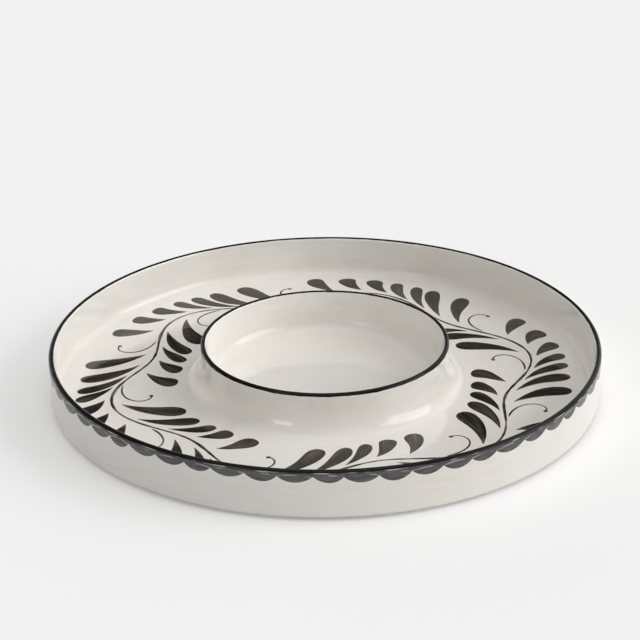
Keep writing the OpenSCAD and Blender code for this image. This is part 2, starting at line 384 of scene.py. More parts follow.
def lip_coat(lip_r, lip_z, round_r, inside, down, wander_in, wander_out, points=72, steps=960):
    """The coat of a painted line over a round lip, as a (1, steps + 1, points, 3) grid.

    c is the way along the lip's section from its crown, outwards. On the round the section's angle
    from upright is c / round_r, and past a quarter turn the section runs straight down. The line
    starts at the angle inside, on the lip's inner side, and ends down below the round, on its outer
    side. wander_in and wander_out are the reach and the seed of each edge's waver. Also returns the
    angle round the lip and c.
    """
    a = np.linspace(0, TURN, steps + 1)[:, None] + TURN * 0.4
    v, body, on_top = coat_section(points)
    low = -round_r * inside - waver(a, *wander_in)
    high = round_r * math.pi / 2 + down + waver(a, *wander_out)
    c = (low + high) / 2 - v * (high - low) / 2
    h = coat_height(body, on_top)
    bend = np.clip(c / round_r, -math.pi / 2, math.pi / 2)
    r = lip_r + (round_r + h) * np.sin(bend)
    z = lip_z + (round_r + h) * np.cos(bend) - (np.abs(c) - np.abs(bend) * round_r)
    grid = np.stack([r * np.cos(a), r * np.sin(a), z], -1)[None]
    return grid, a, c


def add_piece(name, nodes, material, grid, wraps, uv=None, tone=None):
    """Makes one closed piece from its grids, gives it its finish and puts it in the frame.

    Points that coincide, as at poles and seams, are merged, and all faces are turned outwards.
    """
    points, corners = grid.reshape(-1, 3), quads(grid.shape, *wraps)
    mesh = bpy.data.meshes.new(name)
    mesh.vertices.add(len(points))
    mesh.vertices.foreach_set("co", points.astype(np.float32).ravel())
    mesh.loops.add(corners.size)
    mesh.loops.foreach_set("vertex_index", corners.astype(np.int32).ravel())
    mesh.polygons.add(len(corners))
    mesh.polygons.foreach_set("loop_start", np.arange(0, corners.size, 4, dtype=np.int32))
    mesh.update(calc_edges=True)
    if uv is not None:
        layer = mesh.uv_layers.new(name="UVMap")
        layer.uv.foreach_set("vector", uv.reshape(-1, 2)[corners.ravel()].astype(np.float32).ravel())
    if tone is not None:
        values = mesh.attributes.new("tone", "FLOAT", "POINT")
        values.data.foreach_set("value", tone.astype(np.float32).ravel())
    shell = bmesh.new()
    shell.from_mesh(mesh)
    bmesh.ops.remove_doubles(shell, verts=shell.verts, dist=MERGE_DISTANCE)
    bmesh.ops.recalc_face_normals(shell, faces=shell.faces)
    shell.to_mesh(mesh)
    shell.free()
    mesh.shade_smooth()
    mesh.set_sharp_from_angle(angle=SHARP_EDGE)
    mesh.materials.append(material)
    piece = bpy.data.objects.new(name, mesh)
    bpy.context.scene.collection.objects.link(piece)
    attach(piece, "root")
    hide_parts(*nodes)
    return piece


# ---------------------------------------------------------------- finishes


class Value:
    """An output socket of a finish. Python's operators on it add Math nodes."""

    def __init__(self, finish, socket):
        self.finish = finish
        self.socket = socket

    def maths(self, operation, *terms, clamp=False):
        settings = {"operation": operation, "use_clamp": clamp}
        return self.finish.node("ShaderNodeMath", settings, dict(enumerate(terms)))

    def __add__(self, other):
        return self.maths("ADD", self, other)

    def __sub__(self, other):
        return self.maths("SUBTRACT", self, other)

    def __rsub__(self, other):
        return self.maths("SUBTRACT", other, self)

    def __mul__(self, other):
        return self.maths("MULTIPLY", self, other)

    def __truediv__(self, other):
        return self.maths("DIVIDE", self, other)

    def __abs__(self):
        return self.maths("ABSOLUTE", self)

    def __pow__(self, other):
        return self.maths("POWER", self, other)

    __radd__ = __add__
    __rmul__ = __mul__


class Finish:
    """A node tree that is written as Python expressions."""

    def __init__(self, tree):
        self.tree = tree
        tree.nodes.clear()

    def node(self, kind, settings=None, inputs=None, output=0):
        """Adds a node, sets its settings, feeds its inputs and returns one output, if it has any."""
        node = self.tree.nodes.new(kind)
        for name, value in (settings or {}).items():
            setattr(node, name, value)
        for key, value in (inputs or {}).items():
            self.feed(node.inputs[key], value)
        return Value(self, node.outputs[output]) if node.outputs else None

    def feed(self, socket, value):
        """Links a Value to a socket, or sets the socket's own number or colour."""
        if isinstance(value, Value):
            self.tree.links.new(value.socket, socket)
        elif socket.type == "RGBA":
            socket.default_value = (*value, 1.0)
        else:
            socket.default_value = value

    def blend(self, amount, first, second):
        """A colour from first to second as amount goes from 0 to 1."""
        inputs = {0: amount, 6: first, 7: second}
        return self.node("ShaderNodeMix", {"data_type": "RGBA"}, inputs, 2)

    def ramp(self, value, low, high, start=0.0, stop=1.0):
        """A smooth step from start to stop as value goes from low to high."""
        inputs = {"Value": value, 1: low, 2: high, 3: start, 4: stop}
        return self.node("ShaderNodeMapRange", {"interpolation_type": "SMOOTHSTEP"}, inputs)

    def noise(self, vector, scale, detail=2.0, roughness=0.5, distortion=0.0):
        """Soft noise around a half, with scale features to the metre or to the unit of a UV map."""
        inputs = {
            "Vector": vector,
            "Scale": scale,
            "Detail": detail,
            "Roughness": roughness,
            "Distortion": distortion,
        }
        return self.node("ShaderNodeTexNoise", {"noise_dimensions": "3D"}, inputs)

    def place(self, x, y, z):
        """A vector from three values."""
        return self.node("ShaderNodeCombineXYZ", None, {0: x, 1: y, 2: z})

    def parts(self, vector):
        """The three values of a vector."""
        return [self.node("ShaderNodeSeparateXYZ", None, {0: vector}, k) for k in range(3)]

    def coordinate(self, kind):
        """Object coordinates, in metres, or the piece's own UV map."""
        return self.node("ShaderNodeTexCoord", None, None, kind)

    def tone(self):
        """The number that each brush stroke of a piece carries."""
        return self.node("ShaderNodeAttribute", {"attribute_name": "tone"}, None, "Fac")

    def relief(self, height, depth):
        """A normal from a height of 0 to 1 that stands for depth metres."""
        return self.node("ShaderNodeBump", None, {"Strength": 1.0, "Distance": depth, "Height": height})


def surface(name, base, roughness, normal=None, ior=1.5):
    """A material with one glossy or matt shader. base, roughness and normal are made by the caller."""
    material = bpy.data.materials.new(FINISH_PREFIX + name)
    material.use_nodes = True
    finish = Finish(material.node_tree)
    feeds = {"Base Color": base(finish), "Roughness": roughness(finish), "IOR": ior}
    if normal:
        feeds["Normal"] = normal(finish)
    shader = finish.node("ShaderNodeBsdfPrincipled", None, feeds)
    finish.node("ShaderNodeOutputMaterial", None, {"Surface": shader})
    return material


def patchy(scale, smooth, rough, detail=2):
    """A roughness that wanders from smooth to rough, with scale patches to the metre."""
    return lambda f: f.ramp(f.noise(f.coordinate("Object"), scale, detail), 0.3, 0.7, smooth, rough)


def wavy(depth, *layers):
    """A normal from noises laid over each other: a layer is its scale, its detail and its share."""

    def normal(f):
        place = f.coordinate("Object")
        return f.relief(sum(f.noise(place, *layer) * share for *layer, share in layers), depth)

    return normal


def white_glaze(colours, clay):
    """Warm white glaze: cloudy where it lies thicker, thin on the heel's edge, and softly wavy."""

    def base(f):
        place = f.coordinate("Object")
        x, y, z = f.parts(place)
        cloud = f.ramp(f.noise(place, 14, 3), 0.35, 0.75)
        smear = f.noise(f.place(x * 25, y * 25, z * 160), 1.0, 4, 0.6, 1.2)
        thick = cloud * 0.45 + f.ramp(smear, 0.4, 0.7) * 0.5
        glaze = f.blend(thick, colours.glaze, colours.glaze_warm)
        speck = f.ramp(f.noise(place, 900, 1), 0.79, 0.84) * 0.35
        glaze = f.blend(speck, glaze, colours.clay)
        r = (x * x + y * y) ** 0.5
        low = clay.under_z + f.noise(place, 45, 2) * 0.9 * MM
        out = f.ramp(r, clay.wall_r - clay.heel_r - 0.4 * MM, clay.wall_r - clay.heel_r + 0.6 * MM)
        bare = out * (1 - f.ramp((z - low) / MM, 0.1, 1.1))
        return f.blend(bare, glaze, colours.clay)

    return surface("white_glaze", base, patchy(30, 0.035, 0.075, 3), wavy(0.6 * MM, (26, 1, 1), (85, 3, 0.3)))


def bare_clay(colours):
    """Unglazed foot: fine grains, a little darker where the ring has been wiped."""

    def base(f):
        place = f.coordinate("Object")
        grain = f.ramp(f.noise(place, 700, 4), 0.3, 0.7)
        wiped = f.ramp(f.noise(place, 22, 2), 0.4, 0.65)
        dark = [0.72 * c for c in colours.clay]
        return f.blend(grain * 0.6 + wiped * 0.3, colours.clay, dark)

    return surface("bare_clay", base, patchy(300, 0.72, 0.9), wavy(0.12 * MM, (1400, 3, 1)))


def wash_colour(f, colours, along, across, tone):
    """Charcoal wash: brush streaks along the stroke, drier and lighter here and there."""
    streaks = f.noise(f.place(along * 2.2, across * 9, tone * 17), 1.0, 3, 0.6, 0.3)
    cloud = f.noise(f.place(along * 1.3, across * 1.5, tone * 31 + 5), 1.0, 1)
    dry = f.ramp(streaks * 0.6 + cloud * 0.4, 0.36, 0.66)
    return f.blend(dry, colours.wash, colours.wash_thin)


def rim_paint(colours, edge_z, circumference):
    """Black line over the tray's lip, which turns to the border's charcoal below it.

    The line ends at a wandering level on the wall's shoulder, where the brush left slivers of glaze.
    """

    def base(f):
        z = f.parts(f.coordinate("Object"))[2]
        along, across, _ = f.parts(f.coordinate("UV"))
        along = along * circumference / (20 * MM)
        streak = f.noise(f.place(along * 0.45, across * 4.5, 0.0), 1.0, 3)
        black = f.blend(f.ramp(streak, 0.45, 0.75) * 0.45, colours.line, colours.wash)
        wash = wash_colour(f, colours, along, across * 0.4, 0.3)
        wander = (f.noise(f.place(along * 1.1, 0.0, 2.0), 1.0, 2) - 0.5) * 0.7
        level = (z - edge_z) / MM + wander
        paint = f.blend(f.ramp(level, -0.25, 0.25), wash, black)
        gaps = f.ramp(f.noise(f.place(along * 1.3, 0.0, 7.0), 1.0, 1), 0.48, 0.6)
        sliver = (1 - f.ramp(abs(level + 0.28), 0.08, 0.42)) * gaps * 0.6
        return f.blend(sliver, paint, colours.glaze)

    relief = wavy(0.5 * MM, (60, 2, 1), (320, 2, 0.12))
    return surface("rim_paint", base, patchy(120, 0.1, 0.2), relief, LINE_IOR)


def line_paint(colours):
    """Black line over the bowl's lip, a little thin along its streaks."""

    def base(f):
        along, across, _ = f.parts(f.coordinate("UV"))
        streak = f.noise(f.place(along * 30, across * 2.2, 0.0), 1.0, 3)
        return f.blend(f.ramp(streak, 0.45, 0.85) * 0.6, colours.line, colours.wash)

    return surface("line_paint", base, patchy(120, 0.06, 0.12), wavy(0.45 * MM, (60, 2, 1)), LINE_IOR)


def scallop_paint(colours):
    """Charcoal brush strokes, each with its own streaks, and a painted highlight arching along the top of
    each.
    """

    def base(f):
        along, across, _ = f.parts(f.coordinate("UV"))
        tone = f.tone()
        wash = wash_colour(f, colours, along * 0.5, across, tone)
        # painted highlight: a broken light band that arches along each dab's top, blended over the wash
        highlight_arch = abs(across - 0.16 - 0.2 * along * along)
        highlight_breaks = f.ramp(f.noise(f.place(along * 0.9, tone * 50, 3.0), 1.0, 2), 0.42, 0.62)
        streak = (1 - f.ramp(highlight_arch, 0.02, 0.1)) * highlight_breaks * 0.85
        edge = f.ramp(across + along * along * 0.62, 0.86, 1.0) * 0.35
        wash = f.blend(edge, wash, colours.wash)
        return f.blend(streak, wash, colours.dab_highlight)

    relief = wavy(0.5 * MM, (60, 2, 1), (350, 2, 0.1))
    return surface("scallop_paint", base, patchy(150, 0.12, 0.24), relief)


def leaf_paint(colours):
    """Brown-black leaves: long streaks, thin brown edges and a paler run where the brush lifted."""

    def base(f):
        along, across, _ = f.parts(f.coordinate("UV"))
        tone = f.tone()
        streak = f.noise(f.place(along * 1.5, across * 8, tone * 23), 1.0, 4, 0.62, 0.4)
        cloud = f.noise(f.place(along * 1.6, across * 1.1, tone * 41 + 3), 1.0, 1)
        pooled = f.ramp(abs(across), 0.7, 0.95) * 0.1
        lifted = f.ramp(along, 0.3, 0.0) * 0.22
        dry = f.ramp(streak * 0.8 + cloud * 0.4 + lifted + tone * 0.08 - pooled, 0.58, 0.86)
        return f.blend(dry, colours.leaf, colours.leaf_thin)

    relief = wavy(0.6 * MM, (26, 1, 1), (85, 2, 0.18))
    return surface("leaf_paint", base, patchy(90, 0.045, 0.1), relief)


def stem_paint(colours):
    """Stem and tendrils: one fine brush line, dark where it pools and brown where it runs thin."""

    def base(f):
        along, across, _ = f.parts(f.coordinate("UV"))
        tone = f.tone()
        pool = f.noise(f.place(along, across * 0.3, tone * 19), 1.0, 2)
        rim = f.ramp(abs(across), 0.5, 1.0) * 0.12
        return f.blend(f.ramp(pool + rim, 0.42, 0.72), colours.stem, colours.stem_thin)

    return surface("stem_paint", base, patchy(90, 0.1, 0.18))


# ---------------------------------------------------------------- clay


def bowl_inside(clay):
    """Radius, level and angles of the bowl's inside: its cove and the wall that leans out of it.

    The cove's arc touches both the floor and the leaning line, so the glaze shows no edge.
    """
    in_r = clay.bowl_r - clay.bowl_t
    lip_z = clay.wall_top - clay.bowl_t / 2
    cove_z = clay.floor_z + clay.bowl_cove
    lean = math.atan(clay.bowl_lean / (lip_z - cove_z))
    low_r = in_r - clay.bowl_lean
    centre = (low_r - clay.bowl_cove / math.cos(lean), cove_z)
    flare_in = low_r + (clay.flare_z - cove_z) * math.tan(lean)
    return in_r, lip_z, centre, math.degrees(lean), flare_in


def tray_sections(clay):
    """Closed sections of the tray's floor, its heel and its wall."""
    wall_in = clay.wall_r - clay.wall_t
    lip_r, lip_z = clay.wall_r - clay.wall_t / 2, clay.wall_top - clay.wall_t / 2
    cove_r = clay.heel_z - clay.seam - clay.floor_z
    low, high = clay.under_z, clay.floor_z
    floor = joined(
        (clay.floor_in_r, high),
        (clay.floor_out_r, high),
        (clay.floor_out_r, low),
        (clay.floor_in_r, low),
    )
    heel = joined(
        (clay.floor_out_r, low),
        arc((clay.wall_r - clay.heel_r, low + clay.heel_r), clay.heel_r, -90, 0),
        (clay.wall_r, clay.heel_z),
        (wall_in, clay.heel_z),
        arc((wall_in - cove_r, high + cove_r), cove_r, 0, -90),
        (clay.floor_out_r, high),
    )
    wall = joined(
        (clay.wall_r, clay.heel_z),
        arc((lip_r, lip_z), clay.wall_t / 2, 0, 180),
        (wall_in, clay.heel_z),
    )
    return {"tray_floor": floor, "tray_heel": heel, "tray_wall": wall}


def foot_section(clay):
    """Closed section of the foot ring, with its two lower edges rounded."""
    out_r, in_r, soft = clay.foot_r, clay.foot_r - clay.foot_w, clay.foot_round
    return joined(
        (in_r, clay.under_z),
        arc((in_r + soft, soft), soft, 180, 270, 6),
        arc((out_r - soft, soft), soft, 270, 360, 6),
        (out_r, clay.under_z),
    )


def bowl_sections(clay):
    """Closed sections of the dip bowl's flare, its wall and its floor.

    The flare's outside is a quarter of an ellipse: r = r0 - w sin a, z = z0 + h (1 - cos a).
    """
    in_r, lip_z, centre, lean, flare_in = bowl_inside(clay)
    flare_out = clay.floor_in_r - clay.seam
    low, high = clay.under_z, clay.floor_z
    a = np.radians(np.linspace(0, 90, 2 * ARC_STEPS + 1))
    rise = clay.flare_z - clay.seam - high
    ellipse = np.stack(
        [flare_out - (flare_out - clay.bowl_r) * np.sin(a), high + rise * (1 - np.cos(a))], -1
    )
    cove_end = arc(centre, clay.bowl_cove, -90, -lean)
    groove_r = (in_r - clay.bowl_lean + flare_out) / 2
    groove = arc((groove_r, low + clay.groove_h - clay.groove_w / 2), clay.groove_w / 2, 180, 0)
    groove = groove[groove[:, 1] > low]
    edges = [[(groove_r + way * clay.groove_w / 2, low)] for way in (1, -1)]
    flare = joined(
        (clay.bowl_floor_r, high),
        cove_end,
        (flare_in, clay.flare_z),
        (clay.bowl_r, clay.flare_z),
        ellipse[::-1],
        (clay.floor_in_r, high),
        (clay.floor_in_r, low),
        np.concatenate([edges[0], groove[::-1], edges[1]]),
        (clay.bowl_floor_r, low),
    )
    wall = joined(
        (clay.bowl_r, clay.flare_z),
        arc((clay.bowl_r - clay.bowl_t / 2, lip_z), clay.bowl_t / 2, 0, 180),
        (flare_in, clay.flare_z),
    )
    floor = outline(
        np.array([[0, high]]),
        straight((clay.bowl_floor_r * 0.02, high), (clay.bowl_floor_r, high)),
        straight((clay.bowl_floor_r, high), (clay.bowl_floor_r, low)),
        straight((clay.bowl_floor_r, low), (clay.bowl_floor_r * 0.02, low)),
        np.array([[0, low]]),
    )
    return {"bowl_flare": flare, "bowl_wall": wall, "bowl_floor": floor}


def add_clay(name, section, material, closed=True):
    """Turns a section round the axis into the piece that stands for its CAD node."""
    return add_piece(name, [name], material, revolved(section), (closed, True))


def add_paint(context, name, finish, grid, uv, tone=None):
    """Puts a painted coat in the frame: rows of closed rings, each row open or run round to its start."""
    material = context_material(finish, context)
    return add_piece(name, [name], material, grid, (False, True), uv, tone)


# ---------------------------------------------------------------- painted lines and border


def lip_uv(a, c):
    """UV of a line over a lip: once round from 0 to 1, and the way across in millimetres."""
    return np.stack(np.broadcast_arrays((a - a[0]) / TURN, c / MM), -1)[None]


def scallop_strokes(clay, paint):
    """The border's brush dabs, as a (scallops, rows, points, 3) grid, with UV and tones.

    A dab is the lower part of a disc that touches both of its cusps, x from its middle:
    z = low + R - sqrt(R^2 - x^2), with R = (w^2 + d^2) / 2 d for the half width w and depth d. It
    runs on past its cusps up to its level top, so that neighbours overlap, and every second dab
    lies on top. Places, depths and leans wander a little, as by hand.
    """
    rng = np.random.default_rng(BORDER_SEED)
    count, step = paint.scallops, TURN / paint.scallops
    cusps = (np.arange(count) + rng.uniform(-0.1, 0.1, count)) * step
    start, stop = cusps[:, None], np.append(cusps[1:], cusps[0] + TURN)[:, None]
    w = (stop - start) / 2 * clay.wall_r
    depth = (paint.border_z - paint.border_low) * rng.uniform(0.84, 1.08, (count, 1))
    low = paint.border_z + rng.uniform(-0.25, 0.35, (count, 1)) * MM - depth
    disc = (w**2 + depth**2) / (2 * depth)
    reach = np.sqrt(disc**2 - (disc - (paint.border_top - low)) ** 2)
    t = np.sin(np.linspace(-math.pi / 2, math.pi / 2, 41))
    x = reach * t
    lean = rng.uniform(-0.05, 0.1, (count, 1)) * w * (1 - t**2)
    bottom = low + disc - np.sqrt(disc**2 - x**2)
    top = paint.border_top + 0 * x
    v, body, on_top = coat_section(24)
    z = ((top + bottom) / 2)[..., None] + v * ((top - bottom) / 2)[..., None]
    a = ((start + stop) / 2 + (x + lean) / clay.wall_r)[..., None] + 0 * z
    close = np.sqrt(1 - t**8)[None, :, None]
    lift = LIFT * (1.4 + 0.45 * (np.arange(count) % 2))[:, None, None]
    r = clay.wall_r + coat_height(body, on_top, close, lift)
    shoulder = np.clip(z - (clay.wall_top - clay.wall_t / 2), 0, None)
    r = r - clay.wall_t / 2 + np.sqrt((clay.wall_t / 2) ** 2 - shoulder**2)
    grid = np.stack([r * np.cos(a), r * np.sin(a), z], -1)
    along = np.broadcast_to((x / w)[..., None], z.shape)
    across = (paint.border_top - z) / (paint.border_top - paint.border_low)
    tone = np.broadcast_to(rng.uniform(0, 1, (count, 1, 1)), z.shape)
    return grid, np.stack([along, across], -1), tone


# ---------------------------------------------------------------- vine


class Vine:
    """Formulas of the painted vine, on whole arrays of angles in radians.

    The stem's radius is middle + swing sin(waves a). side is 1 for the outer side, -1 for the inner.
    """

    def __init__(self, clay, vine):
        self.v = vine
        in_r = clay.floor_in_r - clay.seam + vine.gap
        out_r = clay.floor_out_r + clay.seam - vine.gap
        self.middle = (in_r + out_r) / 2
        self.short = (out_r - in_r) / 2 - vine.swing
        self.wave = TURN / vine.waves

    def radius(self, a):
        """Radius of the stem's middle at angle a."""
        return self.middle + self.v.swing * np.sin(self.v.waves * a)

    def heading(self, a):
        """Heading of the stem at angle a: its turn from the +X axis."""
        growth = self.v.swing * self.v.waves * np.cos(self.v.waves * a)
        return a + np.arctan2(self.radius(a), growth)

    def reach(self, a, side):
        """How far a leaf at angle a reaches: short where the stem swings close to the edge."""
        share = (1 - side * np.sin(self.v.waves * a)) / 2
        return self.short + (self.v.leaf_reach - self.short) * share

    def tip(self, a, side, lean):
        """Radius and angle of the tip of a leaf that starts at angle a and leans by lean."""
        tip_r = self.radius(a) + side * self.reach(a, side)
        return tip_r, a + self.reach(a, side) * np.tan(lean) / ((self.radius(a) + tip_r) / 2)

    def width(self, a, side, step):
        """Width of a leaf: a share of the room up to its neighbours, a step away on each side."""
        tip_r, _ = self.tip(a, side, self.v.leaf_lean)
        ends = [self.tip(a + k * step / 2, side, self.v.leaf_lean)[1] for k in (-1, 1)]
        room = (ends[1] - ends[0]) * (0.35 * self.radius(a) + 0.65 * tip_r)
        return np.minimum(self.v.leaf_w, self.v.leaf_fill * room * math.cos(self.v.leaf_lean))

    def places(self, side, per_wave, curl, curled):
        """Angles of the leaves of one side, or of its tendrils if curled, and the step between."""
        k = np.arange(self.v.waves * per_wave)
        k = k[(k % per_wave == curl) == curled]
        step = self.wave / per_wave
        return (k + self.v.leaf_phase) * step, step


def polar(r, a):
    """The point at radius r and angle a."""
    return np.stack([r * np.cos(a), r * np.sin(a)], -1)


def leaf_strokes(vine, side, per_wave, curl, floor_z, seed):
    """The leaves of one side of the vine, as flat strokes with UV and tones.

    u is the share of a leaf's length. Its middle line bows by 4 bow u (1 - u), and its half width
    is 0.72 w u^0.95 sqrt(1 - u^6): a pointed stalk and a round end. Each leaf's lean, bow and width
    wander a little, and so does its edge.
    """
    rng = np.random.default_rng(seed)
    a, step = vine.places(side, per_wave, curl, False)
    count = len(a)
    lean = vine.v.leaf_lean + np.radians(rng.uniform(-1.6, 1.6, count))
    start_a = a + vine.v.leaf_gap * math.tan(vine.v.leaf_lean) / vine.radius(a)
    start = polar(vine.radius(a) + side * vine.v.leaf_gap, start_a)
    end = polar(*vine.tip(a, side, lean))
    along = end - start
    size = np.linalg.norm(along, axis=1, keepdims=True)
    across = np.stack([-along[:, 1], along[:, 0]], -1) / size
    bow = side * vine.v.leaf_bow * rng.uniform(0.75, 1.25, (count, 1)) * size
    u = np.sin(np.linspace(0, math.pi / 2, 33))[None, :, None]
    bend = 4 * bow[:, None] * across[:, None]
    middle = start[:, None] + u * along[:, None] + u * (1 - u) * bend
    tangent = along[:, None] + (1 - 2 * u) * bend
    tangent /= np.linalg.norm(tangent, axis=-1, keepdims=True)
    left = np.stack([-tangent[..., 1], tangent[..., 0]], -1)
    u = u[..., 0]
    width = vine.width(a, side, step) * rng.uniform(0.93, 1.04, count)
    ripple = 1 + 0.03 * np.sin(u * rng.uniform(5, 11, (count, 1)) + rng.uniform(0, TURN, (count, 1)))
    half = 0.72 * width[:, None] * u**0.95 * np.sqrt(np.clip(1 - u**6, 0, 1)) * ripple
    close = np.sqrt(np.clip(1 - np.abs(2 * u - 1) ** 10, 0, 1)) + 0 * half
    drift = 0.05 * np.sin(u * rng.uniform(4, 8, (count, 1)) + rng.uniform(0, TURN, (count, 1)))
    grid = flat_strokes(middle, left, half, close, floor_z, drift[..., None])
    return grid, *stroke_marks(grid, u + 0 * half, rng.uniform(0, 1, count))


def stroke_marks(grid, along, tones):
    """UV and tones of strokes: along the stroke, and across it from -1 to 1."""
    v, _, _ = coat_section(grid.shape[2])
    along = np.broadcast_to(along[..., None], grid.shape[:3])
    across = np.broadcast_to(v, grid.shape[:3])
    tone = np.broadcast_to(np.reshape(tones, (-1, 1, 1)), grid.shape[:3])
    return np.stack([along, across], -1), tone


def tendril_strokes(vine, side, per_wave, curl, floor_z, seed):
    """The curled tendrils of one side, as flat strokes with UV and tones.

    With s the share of its length, a tendril's heading leaves the stem's by
    12 + 70 s + 130 s^3 degrees. It starts fine, tapers slowly and ends in a round drop.
    """
    rng = np.random.default_rng(seed)
    a, _ = vine.places(side, per_wave, curl, True)
    drop = vine.v.tendril_w
    total = vine.v.tendril_l + drop
    way = total * np.sin(np.linspace(0, math.pi / 2, 97))
    s = np.minimum(way / vine.v.tendril_l, 1)
    turned = side * np.radians(12 + 70 * s + 130 * s**3)
    heading = vine.heading(a)[:, None] - turned
    between = (heading[:, 1:] + heading[:, :-1]) / 2
    steps = np.diff(way)[None, :, None] * polar(1, between)
    start = polar(vine.radius(a) + side * vine.v.tendril_gap, a)[:, None]
    middle = np.concatenate([start, start + np.cumsum(steps, axis=1)], axis=1)
    left = np.stack([-np.sin(heading), np.cos(heading)], -1)
    line = drop / 2 * np.minimum(1, 0.35 + 6 * s) * (1 - 0.2 * s) * (way <= vine.v.tendril_l)
    line = line * (1 + 0.12 * np.sin(way / (7 * MM) + rng.uniform(0, TURN, (len(a), 1))))
    end = np.sqrt(np.clip(drop**2 - (way - vine.v.tendril_l) ** 2, 0, None)) * (way > total - 2 * drop)
    half = np.maximum(line, end) * np.sqrt(np.minimum(1, way / (0.4 * MM)))
    half[:, -1] = 0
    close = np.minimum(1, half / (0.3 * MM)) ** 0.5
    grid = flat_strokes(middle, left, half, close, floor_z, 0.0, FINE_POINTS)
    along = way / (12 * MM) + 0 * half
    return grid, *stroke_marks(grid, along, rng.uniform(0, 1, len(a)))


def stem_stroke(vine, floor_z):
    """The stem, one closed stroke round the floor, with UV and tones. Its width wanders."""
    a = np.linspace(0, TURN, 901)
    heading = vine.heading(a)
    left = np.stack([-np.sin(heading), np.cos(heading)], -1)[None]
    half = vine.v.stem_w / 2 * (1 + waver(a, 0.3, STEM_SEED))[None]
    middle = polar(vine.radius(a), a)[None]
    grid = flat_strokes(middle, left, half, np.ones_like(half), floor_z, 0.0, FINE_POINTS)
    along = (vine.middle * a / (14 * MM))[None]
    return grid, *stroke_marks(grid, along, [0.5])


def both_sides(scene, strokes, seeds):
    """The strokes of the vine's outer and inner side as one set: grids, UV and tones."""
    clay, sizes = scene.server_clay, scene.server_vine
    vine = Vine(clay, sizes)
    sides = (
        strokes(vine, 1, sizes.outer_leaves, OUTER_CURL, clay.floor_z, seeds[0]),
        strokes(vine, -1, sizes.inner_leaves, INNER_CURL, clay.floor_z, seeds[1]),
    )
    return [np.concatenate(parts) for parts in zip(*sides)]


# ---------------------------------------------------------------- operators


class MakeTray(bpy.types.Operator):
    """Make the tray's floor, its heel and its upright wall, in white glaze"""

    bl_idname = "chipdip.tray"
    bl_label = "Tray"

    def execute(self, context):
        clay = context.scene.server_clay
        glaze = context_material("white_glaze", context)
        for name, section in tray_sections(clay).items():
            add_clay(name, section, glaze)
        return {"FINISHED"}


class MakeFoot(bpy.types.Operator):
    """Make the bare clay foot ring that the tray stands on"""

    bl_idname = "chipdip.foot"
    bl_label = "Foot ring"

    def execute(self, context):
        section = foot_section(context.scene.server_clay)
        add_clay("foot_ring", section, context_material("bare_clay", context))
        return {"FINISHED"}


class MakeBowl(bpy.types.Operator):
    """Make the dip bowl's flare, its wall and its floor, in white glaze"""

    bl_idname = "chipdip.bowl"
    bl_label = "Dip bowl"

    def execute(self, context):
        glaze = context_material("white_glaze", context)
        for name, section in bowl_sections(context.scene.server_clay).items():
            add_clay(name, section, glaze, closed=name != "bowl_floor")
        return {"FINISHED"}


class MakeRimLines(bpy.types.Operator):
    """Brush the black lines over the tray's lip and the dip bowl's lip"""

    bl_idname = "chipdip.rim_lines"
    bl_label = "Lip lines"

    def execute(self, context):
        clay, paint = context.scene.server_clay, context.scene.server_paint
        tray_down = clay.wall_top - clay.wall_t / 2 - paint.border_z
        lips = (
            ("rim_line", "rim_paint", clay.wall_r, clay.wall_t, tray_down, TRAY_LINE_SEEDS, 0.5),
            (
                "bowl_rim_line",
                "line_paint",
                clay.bowl_r,
                clay.bowl_t,
                paint.line_outside,
                BOWL_LINE_SEEDS,
                1.5,
            ),
        )
        for name, finish, out_r, thick, down, seeds, outer_share in lips:
            half = thick / 2
            inner = (paint.waver, seeds[0])
            outer = (outer_share * paint.waver, seeds[1])
            place = (out_r - half, clay.wall_top - half, half)
            grid, a, c = lip_coat(*place, paint.line_inside, down, inner, outer)
            add_paint(context, name, finish, grid, lip_uv(a, c))
        return {"FINISHED"}


class MakeScallops(bpy.types.Operator):
    """Brush the scallops that hang from the rim line round the tray's wall"""

    bl_idname = "chipdip.scallops"
    bl_label = "Scalloped border"

    def execute(self, context):
        grid, uv, tone = scallop_strokes(context.scene.server_clay, context.scene.server_paint)
        add_paint(context, "scallop_border", "scallop_paint", grid, uv, tone)
        return {"FINISHED"}


class MakeVineStem(bpy.types.Operator):
    """Brush the wavy stem that runs round the tray's floor"""

    bl_idname = "chipdip.vine_stem"
    bl_label = "Vine stem"

    def execute(self, context):
        clay = context.scene.server_clay
        grid, uv, tone = stem_stroke(Vine(clay, context.scene.server_vine), clay.floor_z)
        add_paint(context, "vine_stem", "stem_paint", grid, uv, tone)
        return {"FINISHED"}


class MakeVineTendrils(bpy.types.Operator):
    """Brush the curled tendrils that leave the stem, one to each side of every wave"""

    bl_idname = "chipdip.vine_tendrils"
    bl_label = "Vine tendrils"

    def execute(self, context):
        grid, uv, tone = both_sides(context.scene, tendril_strokes, TENDRIL_SEEDS)
        add_paint(context, "vine_tendrils", "stem_paint", grid, uv, tone)
        return {"FINISHED"}


class MakeVineLeaves(bpy.types.Operator):
    """Brush the leaves on both sides of the stem"""

    bl_idname = "chipdip.vine_leaves"
    bl_label = "Vine leaves"

    def execute(self, context):
        grid, uv, tone = both_sides(context.scene, leaf_strokes, LEAF_SEEDS)
        add_paint(context, "vine_leaves", "leaf_paint", grid, uv, tone)
        return {"FINISHED"}


def context_material(name, context):
    """The finish of that name, made the first time that it is asked for."""
    if FINISH_PREFIX + name in bpy.data.materials:
        return bpy.data.materials[FINISH_PREFIX + name]
    scene = context.scene
    colours, clay, paint = scene.server_finish, scene.server_clay, scene.server_paint
    makers = {
        "white_glaze": lambda: white_glaze(colours, clay),
        "bare_clay": lambda: bare_clay(colours),
        "rim_paint": lambda: rim_paint(colours, paint.line_edge, TURN * clay.wall_r),
        "line_paint": lambda: line_paint(colours),
        "scallop_paint": lambda: scallop_paint(colours),
        "leaf_paint": lambda: leaf_paint(colours),
        "stem_paint": lambda: stem_paint(colours),
    }
    return makers[name]()


